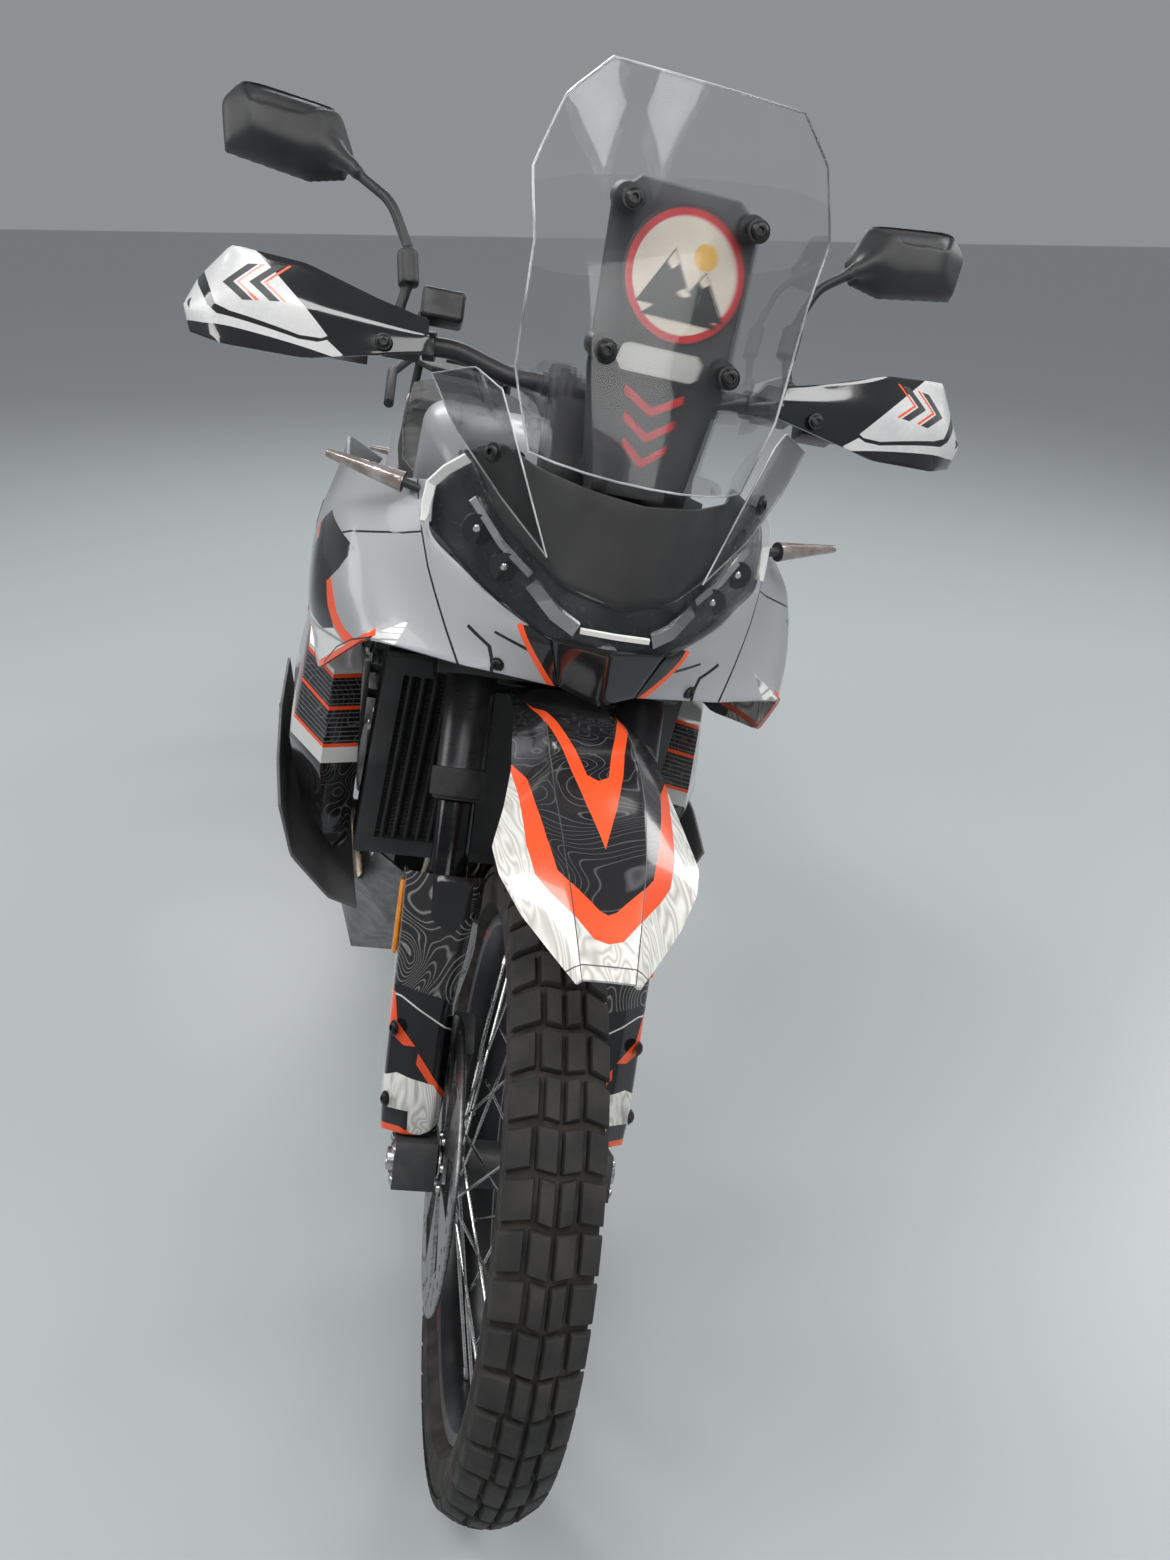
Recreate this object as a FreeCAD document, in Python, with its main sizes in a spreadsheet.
import FreeCAD, Part
import math
import os

import Sketcher
from FreeCAD import Placement, Rotation, Vector

# Adventure motorcycle, parked on its side stand, with its steering turned a little to the rider's right.
# It is modelled upright, in millimetres: x to the rider's left, y to the rear, z up, with y = 0 half way
# between the axles. Steered pieces are modelled about the steering axis. The parked pose is put on at the end.

os.makedirs("parts", exist_ok=True)
doc = FreeCAD.newDocument("adventure_motorcycle")
sheet = doc.addObject("Spreadsheet::Sheet", "Sizes")

# alias, value, what it measures
SIZES = [
    ("wheelbase", 1530, "front axle to rear axle, straight ahead"),
    ("front_reach", 765, "front axle ahead of the frame's datum"),
    ("rake", 26.3, "steering axis from the vertical, degrees"),
    ("trail", 110, "front contact behind the steering axis on the ground"),
    ("lean", 12, "lean on the side stand, degrees"),
    ("steer", -5.7, "steering as parked, degrees, plus is to the rider's left"),
    ("seat_gap", 0.3, "clearance where pieces seat on each other"),
    ("front_radius", 350, "front tyre over its lugs"),
    ("front_width", 94, "front tyre section"),
    ("front_rows", 50, "rows of lugs round the front tyre"),
    ("front_rim", 278, "front rim flange radius"),
    ("front_rim_width", 66, "front rim over its flanges"),
    ("rear_radius", 334, "rear tyre over its lugs"),
    ("rear_width", 150, "rear tyre section"),
    ("rear_rows", 34, "rows of lugs round the rear tyre"),
    ("rear_rim", 239, "rear rim flange radius"),
    ("rear_rim_width", 122, "rear rim over its flanges"),
    ("lug_depth", 9, "tread depth"),
    ("rim_depth", 20, "rim section from flange to inner face"),
    ("spoke_count", 36, "spokes in a wheel"),
    ("spoke_width", 3.6, "spoke thickness"),
    ("axle_radius", 12.5, "front axle outside"),
    ("axle_bore", 9, "front axle through bore"),
    ("front_axle_length", 256, "front axle end to end"),
    ("rear_axle_radius", 12.5, "rear axle outside"),
    ("rear_axle_length", 318, "rear axle end to end"),
    ("hub_radius", 26, "hub barrel"),
    ("hub_flange", 42, "hub spoke flange radius"),
    ("front_disc", 160, "front brake disc radius"),
    ("rear_disc", 130, "rear brake disc radius"),
    ("disc_thickness", 4.5, "brake disc thickness"),
    ("disc_place", 66, "front disc from the wheel's middle"),
    ("rear_disc_place", 88, "rear disc from the wheel's middle"),
    ("sprocket_radius", 113, "rear sprocket over its teeth"),
    ("sprocket_teeth", 44, "rear sprocket teeth"),
    ("sprocket_thickness", 7, "rear sprocket"),
    ("chain_line", 96, "chain from the bike's middle"),
    ("fork_spread", 98, "fork leg from the bike's middle"),
    ("fork_offset", 28, "fork legs ahead of the steering axis"),
    ("fork_outer", 28, "fork outer tube radius"),
    ("fork_inner", 21.5, "fork inner tube radius"),
    ("fork_outer_low", 760, "lower end of the outer tube, along the steering axis"),
    ("fork_top", 1155, "top of the fork, along the steering axis"),
    ("clamp_low", 900, "underside of the lower clamp, along the steering axis"),
    ("clamp_high", 1098, "underside of the upper clamp, along the steering axis"),
    ("clamp_thickness", 34, "fork clamps"),
    ("head_radius", 32, "steering head tube"),
    ("stem_radius", 16, "steering stem"),
    ("frame_tube", 16, "main frame tube radius"),
    ("subframe_tube", 12, "subframe tube radius"),
    ("pivot_y", 185, "swingarm pivot behind the middle"),
    ("pivot_z", 395, "swingarm pivot height"),
    ("bar_tube", 11, "handlebar tube radius"),
    ("bar_clamp", 14, "handlebar radius at its clamps"),
    ("grip_radius", 17, "grip radius"),
    ("screen_wall", 4, "windscreen thickness"),
    ("panel_wall", 4, "moulded panel thickness"),
    ("stand_x", 118, "side stand pivot from the middle"),
    ("stand_y", 62, "side stand pivot behind the middle"),
    ("stand_z", 292, "side stand pivot height"),
    ("foot_x", 284, "stand's foot from the tyres' line, on the floor"),
    ("foot_y", -12, "stand's foot along the floor"),
    ("stand_tube", 13, "side stand leg radius"),
    ("rack_pcd", 120, "rack's bolt circle"),
    ("rack_hole", 4.5, "rack's bolt hole radius"),
]
for row, (alias, value, meaning) in enumerate(SIZES, start=1):
    sheet.set("A%d" % row, meaning)
    sheet.set("B%d" % row, str(value))
    sheet.setAlias("B%d" % row, alias)
doc.recompute()


class Dims:
    """The sheet's values by their names."""


dim = Dims()
for alias, _, _ in SIZES:
    setattr(dim, alias, float(sheet.get(alias)))

NODES = []
MIRROR = (1, -1)

# Places that follow from the sizes
rake = math.radians(dim.rake)
front_axle = Vector(0, -dim.front_reach, dim.front_radius - 2)
rear_axle = Vector(0, dim.wheelbase - dim.front_reach, dim.rear_radius)
steer_foot = Vector(0, front_axle.y - dim.trail, 0)
FORK = Placement(steer_foot, Rotation(Vector(1, 0, 0), -dim.rake))
axle_in_fork = FORK.inverse().multVec(front_axle)


# Shapes used many times
def expression(text):
    """A sum of sizes as the sheet's expression: each word that names a size gets the sheet's name."""
    words = []
    for word in text.split():
        name = word.partition("/")[0].partition("*")[0]
        words.append("Sizes." + word if hasattr(dim, name) else word)
    return " ".join(words)


def bind(obj, **texts):
    for name, text in texts.items():
        obj.setExpression(name, expression(text))
    return obj


def cylinder(name, place, axis, radius, height):
    """A Part cylinder whose radius and height follow the sheet, along an axis through its middle."""
    obj = bind(doc.addObject("Part::Cylinder", name), Radius=radius, Height=height)
    doc.recompute()
    turn = Rotation(Vector(0, 0, 1), Vector(*axis))
    start = turn.multVec(Vector(0, 0, -obj.Height.Value / 2))
    obj.Placement = Placement(Vector(*place) + start, turn)
    return obj


def box(name, low, high):
    """A Part box between two corners."""
    obj = doc.addObject("Part::Box", name)
    obj.Length, obj.Width, obj.Height = [b - a for a, b in zip(low, high)]
    obj.Placement = Placement(Vector(*low), Rotation())
    return obj


def joined(name, objects):
    obj = doc.addObject("Part::MultiFuse", name)
    obj.Shapes = objects
    return obj


def cut(name, base, tool):
    obj = doc.addObject("Part::Cut", name)
    obj.Base = base
    obj.Tool = tool
    return obj


def feature(name, shape):
    obj = doc.addObject("Part::Feature", name)
    obj.Shape = shape
    return obj


def node(obj, label, carrier):
    """Names a sub-part and puts it on its carrier: the bike's body or the steering."""
    obj.Label = label
    obj.Placement = carrier.multiply(obj.Placement)
    NODES.append(obj)
    return obj


def rod(start, end, radius):
    start, end = Vector(*start), Vector(*end)
    return Part.makeCylinder(radius, (end - start).Length, start, end - start)


def bent_path(points, bend):
    """Straight runs through the points, with a tangent arc of the bend radius at each inner point."""
    points = [Vector(*p) for p in points]
    edges, last = [], points[0]
    for before, here, after in zip(points, points[1:], points[2:]):
        a, b = (here - before).normalize(), (after - here).normalize()
        half = a.getAngle(b) / 2
        room = 0.45 * min((here - before).Length, (after - here).Length)
        radius = min(bend, room / math.tan(half))
        setback = radius * math.tan(half)
        start, end = here - a * setback, here + b * setback
        middle = here + (b - a).normalize() * (radius / math.cos(half) - radius)
        edges.append(Part.LineSegment(last, start).toShape())
        edges.append(Part.Arc(start, middle, end).toShape())
        last = end
    edges.append(Part.LineSegment(last, points[-1]).toShape())
    return Part.Wire(edges)


def tube(points, radius, bend):
    """A round tube along a bent path."""
    path = bent_path(points, bend)
    along = Vector(*points[1]) - Vector(*points[0])
    ring = Part.Wire(Part.makeCircle(radius, Vector(*points[0]), along))
    return path.makePipe(Part.Face(ring))


def polygon(points):
    points = [Vector(*p) for p in points]
    return Part.makePolygon(points + points[:1])


def prism(points, along):
    """A flat outline pushed along a vector."""
    return Part.Face(polygon(points)).extrude(Vector(*along))


def flat_faces(corners):
    """One face for a flat quad, two triangles for a twisted one."""
    a, b, c, d = corners
    normal = (b - a).cross(c - a)
    if normal.Length < 1e-9:
        return [Part.Face(polygon([a, c, d]))]
    if (d - a).cross(c - a).Length < 1e-9:
        return [Part.Face(polygon([a, b, c]))]
    if abs(normal.normalize().dot(d - a)) < 1e-7:
        return [Part.Face(polygon([a, b, c, d]))]
    return [Part.Face(polygon([a, b, c])), Part.Face(polygon([a, c, d]))]


def solid_of(faces):
    solid = Part.makeSolid(Part.makeShell(faces))
    if solid.Volume < 0:
        solid.reverse()
    return solid


def grid_panel(rows, wall):
    """A moulded panel of flat facets: rows of outer points, all with as many, and a wall behind them."""
    grid = [[Vector(*p) for p in row] for row in rows]
    count, width = len(grid), len(grid[0])
    inner = []
    for i in range(count):
        line = []
        for j in range(width):
            normal = Vector()
            for di, dj in ((-1, -1), (-1, 0), (0, -1), (0, 0)):
                a, b = i + di, j + dj
                if 0 <= a < count - 1 and 0 <= b < width - 1:
                    one = grid[a + 1][b + 1] - grid[a][b]
                    two = grid[a][b + 1] - grid[a + 1][b]
                    across = one.cross(two)
                    if across.Length > 1e-6:
                        normal += across.normalize()
            line.append(grid[i][j] - normal.normalize() * wall)
        inner.append(line)
    faces = []
    for i in range(count - 1):
        for j in range(width - 1):
            for side in (grid, inner):
                faces += flat_faces([side[i][j], side[i + 1][j], side[i + 1][j + 1], side[i][j + 1]])
    edge = [(i, 0) for i in range(count)]
    edge += [(count - 1, j) for j in range(1, width)]
    edge += [(i, width - 1) for i in range(count - 2, -1, -1)]
    edge += [(0, j) for j in range(width - 2, -1, -1)]
    for (a, b), (c, d) in zip(edge, edge[1:]):
        if (grid[a][b] - grid[c][d]).Length > 1e-6:
            faces += flat_faces([grid[a][b], grid[c][d], inner[c][d], inner[a][b]])
    return solid_of(faces)


def mirrored(shape):
    return shape.mirror(Vector(), Vector(1, 0, 0))


def both_sides(shape):
    """A piece and its mirror image across the bike's middle."""
    return Part.makeCompound([shape, mirrored(shape)])


def loft(sections, ruled=False):
    return Part.makeLoft(sections, True, ruled)


def rounded_box_wire(centre, across, up, half_width, half_height, corner):
    """A rectangle with round corners, in the plane of two directions."""
    centre, across, up = Vector(*centre), Vector(*across), Vector(*up)
    w, v, r = half_width, half_height, corner
    dot = 0.2929 * r

    def at(a, b):
        return centre + across * a + up * b

    edges = []
    for sa, sb, swap in ((1, 1, 0), (-1, 1, 1), (-1, -1, 0), (1, -1, 1)):
        first, last = at(sa * w, sb * (v - r)), at(sa * (w - r), sb * v)
        middle = at(sa * (w - dot), sb * (v - dot))
        if swap:
            first, last = last, first
        edges.append(Part.Arc(first, middle, last).toShape())
    wire = []
    for here, after in zip(edges, edges[1:] + edges[:1]):
        wire.append(here)
        wire.append(Part.LineSegment(here.Vertexes[-1].Point, after.Vertexes[0].Point).toShape())
    return Part.Wire(Part.__sortEdges__(wire))


# Tyres: flat-topped lugs on a many-sided ring, so that every lug stands on its own flat
LUG_SHARE = 0.74
LUG_DRAFT = 1.6


def tyre_faces(radius, width, rows, rim, rim_width, crown, centre):
    """Faces of a tyre about the x axis, and its lug corners. Each row has a ridged centre lug and two shoulders."""
    rows, base = int(rows), radius - dim.lug_depth
    pitch, shoulder, bead = 360.0 / rows, 0.46 * width, rim_width / 2 - 3
    wide_radius = rim + 0.55 * (base - rim)
    seat = (rim + dim.seat_gap) / math.cos(math.pi / rows)

    def at(x, r, degrees):
        turn = math.radians(degrees)
        return Vector(x, r * math.sin(turn), -r * math.cos(turn))

    def crowned(x, top, degrees):
        return at(x, top - crown + math.sqrt(crown ** 2 - x ** 2), degrees)

    def columns(row):
        middle = centre * (1.1 if row % 2 else 0.9)
        return [-shoulder, -middle, 0, middle, shoulder]

    faces, corners = [], []
    for row in range(rows):
        a0 = (row - LUG_SHARE / 2) * pitch
        a1, a2 = a0 + LUG_SHARE * pitch, a0 + pitch
        xs, after = columns(row), columns((row + 1) % rows)
        for j in range(4):
            faces += flat_faces([crowned(xs[j], base, a1), crowned(xs[j + 1], base, a1),
                                 crowned(after[j + 1], base, a2), crowned(after[j], base, a2)])
        inset = math.degrees(LUG_DRAFT / radius)
        for lug in (xs[0:2], xs[1:4], xs[3:5]):
            top = [lug[0] + LUG_DRAFT] + lug[1:-1] + [lug[-1] - LUG_DRAFT]
            low0, low1 = [[crowned(x, base, a) for x in lug] for a in (a0, a1)]
            top0, top1 = [[crowned(x, radius, a) for x in top] for a in (a0 + inset, a1 - inset)]
            corners += top0 + top1
            for j in range(len(lug) - 1):
                faces += flat_faces([top0[j], top0[j + 1], top1[j + 1], top1[j]])
                faces += flat_faces([low0[j], low0[j + 1], top0[j + 1], top0[j]])
                faces += flat_faces([low1[j], low1[j + 1], top1[j + 1], top1[j]])
            for j in (0, -1):
                faces += flat_faces([low0[j], low1[j], top1[j], top0[j]])
        for side in (-1, 1):
            s0, s1, s2 = [crowned(side * shoulder, base, a) for a in (a0, a1, a2)]
            w0, w2 = [at(side * width / 2, wide_radius, a) for a in (a0, a2)]
            b0, b2 = [at(side * bead, seat, a) for a in (a0, a2)]
            faces += [Part.Face(polygon(three)) for three in ([s0, s1, w0], [s1, w2, w0], [s1, s2, w2])]
            faces += flat_faces([w0, w2, b2, b0])
        faces += flat_faces([at(-bead, seat, a0), at(bead, seat, a0), at(bead, seat, a2), at(-bead, seat, a2)])
    return faces, corners


front_tyre_faces, front_lugs = tyre_faces(dim.front_radius, dim.front_width, dim.front_rows, dim.front_rim,
                                          dim.front_rim_width, crown=66, centre=19)
rear_tyre_faces, rear_lugs = tyre_faces(dim.rear_radius, dim.rear_width, dim.rear_rows, dim.rear_rim,
                                        dim.rear_rim_width, crown=96, centre=30)


# The parked pose: it leans to the left until its stand bears, and both tyres touch the floor
def parked_pose():
    turn = Placement(steer_foot, Rotation(FORK.Rotation.multVec(Vector(0, 0, 1)), dim.steer))
    turn = turn.multiply(Placement(-steer_foot, Rotation()))
    height, pitch = 0.0, 0.0
    for _ in range(4):
        pose = Placement(Vector(0, 0, height), Rotation(Vector(0, 1, 0), dim.lean))
        pose = pose.multiply(Placement(Vector(), Rotation(Vector(1, 0, 0), pitch)))
        steered = pose.multiply(turn)
        front = min(steered.multVec(front_axle + p).z for p in front_lugs)
        rear = min(pose.multVec(rear_axle + p).z for p in rear_lugs)
        height -= (front + rear) / 2
        pitch -= math.degrees((rear - front) / dim.wheelbase)
    return pose, steered


BIKE, STEERED = parked_pose()
STEERING = STEERED.multiply(FORK)
FRONT_WHEEL = STEERED.multiply(Placement(front_axle, Rotation()))
REAR_WHEEL = BIKE.multiply(Placement(rear_axle, Rotation()))


# Sketches and bodies bound to the sheet
def origin_plane(body, role):
    return [plane for plane in body.Origin.OriginFeatures if plane.Role == role][0]


def amount(text):
    """The value of a sum of sizes and numbers, each word with an optional divisor."""
    total, sign = 0.0, 1.0
    for word in text.split():
        if word in "+-":
            sign = 1.0 if word == "+" else -1.0
            continue
        name, _, divisor = word.partition("/")
        value = getattr(dim, name) if hasattr(dim, name) else float(name)
        total += sign * value / float(divisor or 1)
    return total


def outline_sketch(body, name, plane, corners):
    """A closed outline whose corners are bound, each by two sums of sizes, to the sketch's origin."""
    sketch = body.newObject("Sketcher::SketchObject", name)
    sketch.AttachmentSupport = [(origin_plane(body, plane), "")]
    sketch.MapMode = "FlatFace"
    places = [Vector(amount(a), amount(b), 0) for a, b in corners]
    count = len(corners)
    for i in range(count):
        sketch.addGeometry(Part.LineSegment(places[i], places[(i + 1) % count]), False)
    for i in range(count):
        sketch.addConstraint(Sketcher.Constraint("Coincident", i, 2, (i + 1) % count, 1))
    for i, corner in enumerate(corners):
        for kind, text, value in (("DistanceX", corner[0], places[i].x), ("DistanceY", corner[1], places[i].y)):
            index = sketch.addConstraint(Sketcher.Constraint(kind, -1, 1, i, 1, value))
            sketch.setExpression("Constraints[%d]" % index, expression(text))
    return sketch


def turned_body(name, corners):
    """A piece turned about the x axis: corners give the place along it and the radius."""
    body = doc.addObject("PartDesign::Body", name)
    doc.recompute()
    sketch = outline_sketch(body, name + "_profile", "XY_Plane", corners)
    turn = body.newObject("PartDesign::Revolution", name + "_turn")
    turn.Profile = sketch
    turn.ReferenceAxis = (sketch, ["H_Axis"])
    turn.Angle = 360
    return body


def rim(name, radius, width):
    half = width + "/2"
    return turned_body(name, [
        ("- " + half, radius), (half, radius), (half, radius + " - 7"), (half + " - 20", radius + " - 14"),
        ("8", radius + " - rim_depth"), ("-8", radius + " - rim_depth"),
        ("20 - " + half, radius + " - 14"), ("- " + half, radius + " - 7")])


def square_rod(start, end, width):
    start, end = Vector(*start), Vector(*end)
    along = end - start
    bar = Part.makeBox(width, width, along.Length, Vector(-width / 2, -width / 2, 0))
    bar.Placement = Placement(start, Rotation(Vector(0, 0, 1), along))
    return bar


def spokes(flange_x, hub_radius, rim_radius):
    """Spokes laced from both hub flanges to the rim's middle, every other one leaning the other way."""
    bars, count = [], int(dim.spoke_count)
    for i in range(count):
        side = 1 if i % 2 else -1
        lean = 1 if (i // 2) % 2 else -1
        at_rim = 2 * math.pi * i / count
        at_hub = at_rim + lean * math.radians(62)
        inner = (side * flange_x, hub_radius * math.sin(at_hub), hub_radius * math.cos(at_hub))
        outer = (side * 5, rim_radius * math.sin(at_rim), rim_radius * math.cos(at_rim))
        bars.append(square_rod(inner, outer, dim.spoke_width))
    return Part.makeCompound(bars)


# Front wheel
node(feature("front_tyre", solid_of(front_tyre_faces)), "front_tyre", FRONT_WHEEL)
node(rim("front_rim_body", "front_rim", "front_rim_width"), "front_rim", FRONT_WHEEL)
HUB_END = "disc_place - disc_thickness/2 - seat_gap"
HUB_END_MINUS = "disc_thickness/2 + seat_gap - disc_place"
node(turned_body("front_hub_body", [
    (HUB_END_MINUS, "axle_radius + seat_gap"), (HUB_END, "axle_radius + seat_gap"), (HUB_END, "hub_radius + 6"),
    (HUB_END + " - 10", "hub_radius + 6"), (HUB_END + " - 10", "hub_flange"), (HUB_END + " - 17", "hub_flange"),
    (HUB_END + " - 22", "hub_radius"), (HUB_END_MINUS + " + 22", "hub_radius"),
    (HUB_END_MINUS + " + 17", "hub_flange"), (HUB_END_MINUS + " + 10", "hub_flange"),
    (HUB_END_MINUS + " + 10", "hub_radius + 6"), (HUB_END_MINUS, "hub_radius + 6")]), "front_hub", FRONT_WHEEL)
front_flange_x = amount(HUB_END + " - 14")
node(feature("front_spoke_set", spokes(front_flange_x, dim.hub_flange + 2.2, dim.front_rim - dim.rim_depth - 0.9)),
     "front_spokes", FRONT_WHEEL)


def brake_disc(name, radius, carrier):
    """A brake disc: a ring on arms, its windows cut through and patterned round."""
    body = doc.addObject("PartDesign::Body", name)
    doc.recompute()
    sketch = body.newObject("Sketcher::SketchObject", name + "_outline")
    sketch.AttachmentSupport = [(origin_plane(body, "YZ_Plane"), "")]
    sketch.MapMode = "FlatFace"
    for text in (radius, carrier):
        index = sketch.addGeometry(Part.Circle(Vector(), Vector(0, 0, 1), amount(text)), False)
        sketch.addConstraint(Sketcher.Constraint("Coincident", index, 3, -1, 1))
        bound = sketch.addConstraint(Sketcher.Constraint("Radius", index, amount(text)))
        sketch.setExpression("Constraints[%d]" % bound, expression(text))
    pad = body.newObject("PartDesign::Pad", name + "_pad")
    pad.Profile = sketch
    pad.setExpression("Length", expression("disc_thickness"))
    doc.recompute()
    window = outline_sketch(body, name + "_window", "YZ_Plane", [
        ("-16", carrier + " + 12"), ("16", carrier + " + 12"), ("30", radius + " - 40"), ("-30", radius + " - 40")])
    pocket = body.newObject("PartDesign::Pocket", name + "_pocket")
    pocket.Profile = window
    pocket.Type = "ThroughAll"
    pocket.Reversed = True
    doc.recompute()
    pattern = body.newObject("PartDesign::PolarPattern", name + "_windows")
    pattern.Originals = [pocket]
    pattern.Axis = (sketch, ["N_Axis"])
    pattern.Angle = 360
    pattern.Occurrences = 6
    body.Tip = pattern
    doc.recompute()
    return body


disc_bodies = []
for side, name in zip(MIRROR, ("left", "right")):
    body = brake_disc("front_disc_" + name, "front_disc", "hub_radius - 4")
    body.Placement = Placement(Vector(side * dim.disc_place - dim.disc_thickness / 2, 0, 0), Rotation())
    disc_bodies.append(body)
discs = doc.addObject("Part::Compound", "front_disc_pair")
discs.Links = disc_bodies
doc.recompute()
node(discs, "front_discs", FRONT_WHEEL)

# Rear wheel
node(feature("rear_tyre", solid_of(rear_tyre_faces)), "rear_tyre", REAR_WHEEL)
node(rim("rear_rim_body", "rear_rim", "rear_rim_width"), "rear_rim", REAR_WHEEL)
REAR_LEFT = "chain_line - sprocket_thickness/2 - seat_gap"
REAR_RIGHT = "disc_thickness/2 + seat_gap - rear_disc_place"
node(turned_body("rear_hub_body", [
    (REAR_RIGHT, "rear_axle_radius + seat_gap"), (REAR_LEFT, "rear_axle_radius + seat_gap"),
    (REAR_LEFT, "hub_radius + 30"), (REAR_LEFT + " - 22", "hub_radius + 36"),
    (REAR_LEFT + " - 38", "hub_radius + 36"), (REAR_LEFT + " - 38", "hub_radius"),
    (REAR_RIGHT + " + 26", "hub_radius"), (REAR_RIGHT + " + 22", "hub_radius + 36"),
    (REAR_RIGHT + " + 14", "hub_radius + 36"), (REAR_RIGHT + " + 14", "hub_radius + 6"),
    (REAR_RIGHT, "hub_radius + 6")]), "rear_hub", REAR_WHEEL)
rear_flange_x = 54
node(feature("rear_spoke_set", spokes(rear_flange_x, dim.hub_radius + 38.2, dim.rear_rim - dim.rim_depth - 0.9)),
     "rear_spokes", REAR_WHEEL)
rear_disc_body = brake_disc("rear_disc_body", "rear_disc", "hub_radius - 4")
rear_disc_body.Placement = Placement(Vector(-dim.rear_disc_place - dim.disc_thickness / 2, 0, 0), Rotation())
node(rear_disc_body, "rear_disc", REAR_WHEEL)


def sprocket_shape(radius, teeth, thickness, bore):
    """A toothed wheel about the x axis: a root, a tip and two flanks for each tooth."""
    points = []
    for tooth in range(int(teeth)):
        for share, r in ((0.0, radius - 7), (0.3, radius - 7), (0.5, radius), (0.8, radius)):
            turn = 2 * math.pi * (tooth + share) / teeth
            points.append((-thickness / 2, r * math.sin(turn), r * math.cos(turn)))
    wheel = prism(points, (thickness, 0, 0))
    holes = [rod((-thickness, 0, 0), (thickness, 0, 0), bore)]
    for i in range(6):
        turn = math.pi * i / 3
        y, z = 0.68 * radius * math.sin(turn), 0.68 * radius * math.cos(turn)
        holes.append(rod((-thickness, y, z), (thickness, y, z), 0.17 * radius))
    return wheel.cut(holes)


rear_sprocket = feature("rear_sprocket_plate", sprocket_shape(
    dim.sprocket_radius - 5, dim.sprocket_teeth, dim.sprocket_thickness, dim.rear_axle_radius + dim.seat_gap))
rear_sprocket.Placement = Placement(Vector(dim.chain_line, 0, 0), Rotation())
node(rear_sprocket, "rear_sprocket", REAR_WHEEL)

# Chain: one closed loop of wide and narrow links round both sprockets
CHAIN_PITCH = 15.875
output_shaft = Vector(dim.chain_line, dim.pivot_y - 92, dim.pivot_z + 5)
front_sprocket_radius = 44


def chain_pins():
    """Pin places along the loop, in the y-z plane, with the direction out of the loop at each."""
    small, large = front_sprocket_radius, dim.sprocket_radius + 3
    start = Vector(0, output_shaft.y, output_shaft.z)
    end = Vector(0, rear_axle.y, rear_axle.z)
    span = end - start
    tilt = math.asin((large - small) / span.Length)
    along = math.atan2(span.z, span.y)
    top, low = along + math.pi / 2 + tilt, along - math.pi / 2 - tilt
    run = span.Length * math.cos(tilt)
    lengths = [run, large * (math.pi + 2 * tilt), run, small * (math.pi - 2 * tilt)]
    count = 2 * round(sum(lengths) / CHAIN_PITCH / 2)
    step, pins = sum(lengths) / count, []
    for i in range(count):
        s = i * step
        if s < lengths[0]:
            out = top
            spot = start + Vector(0, math.cos(top), math.sin(top)) * small
            spot += Vector(0, -math.sin(top), math.cos(top)) * -s
        elif s < sum(lengths[:2]):
            out = top - (s - lengths[0]) / large
            spot = end + Vector(0, math.cos(out), math.sin(out)) * large
        elif s < sum(lengths[:3]):
            out = low
            spot = end + Vector(0, math.cos(low), math.sin(low)) * large
            spot += Vector(0, math.sin(low), -math.cos(low)) * (s - sum(lengths[:2]))
        else:
            out = low - (s - sum(lengths[:3])) / small
            spot = start + Vector(0, math.cos(out), math.sin(out)) * small
        pins.append((spot, Vector(0, math.cos(out), math.sin(out))))
    return pins


def chain_shape():
    pins = chain_pins()
    faces, half_height = [], 7.0
    half_widths = (6.5, 9.5)

    def corners(pin, half):
        spot, out = pin
        return [spot + Vector(dim.chain_line + a * half, 0, 0) + out * b * half_height
                for a, b in ((-1, -1), (1, -1), (1, 1), (-1, 1))]

    for i, pin in enumerate(pins):
        after = pins[(i + 1) % len(pins)]
        half = half_widths[i % 2]
        here, there = corners(pin, half), corners(after, half)
        for j in range(4):
            faces += flat_faces([here[j], here[(j + 1) % 4], there[(j + 1) % 4], there[j]])
        narrow, wide = [corners(pin, w) for w in half_widths]
        faces += flat_faces([narrow[0], wide[0], wide[3], narrow[3]])
        faces += flat_faces([narrow[1], wide[1], wide[2], narrow[2]])
    return solid_of(faces)


node(feature("chain_loop", chain_shape()), "chain", BIKE)

# Axles
front_axle_rod = cylinder("front_axle_rod", (0, 0, 0), (1, 0, 0), "axle_radius", "front_axle_length")
front_axle_bore = cylinder("front_axle_hole", (0, 0, 0), (1, 0, 0), "axle_bore", "front_axle_length + 2")
spacers = []
for side, name in zip(MIRROR, ("left", "right")):
    middle = side * (dim.disc_place + dim.disc_thickness / 2 + dim.seat_gap + 2)
    spacer = bind(doc.addObject("Part::Cylinder", "front_spacer_" + name), Radius="axle_radius + 6")
    spacer.Height = 4
    spacer.Placement = Placement(Vector(middle - 2, 0, 0), Rotation(Vector(0, 0, 1), Vector(1, 0, 0)))
    spacers.append(spacer)
axle = cut("front_axle_tube", joined("front_axle_solid", [front_axle_rod] + spacers), front_axle_bore)
doc.recompute()
node(axle, "front_axle", FRONT_WHEEL)
node(cylinder("rear_axle_rod", (0, 0, 0), (1, 0, 0), "rear_axle_radius", "rear_axle_length"), "rear_axle", REAR_WHEEL)

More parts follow.
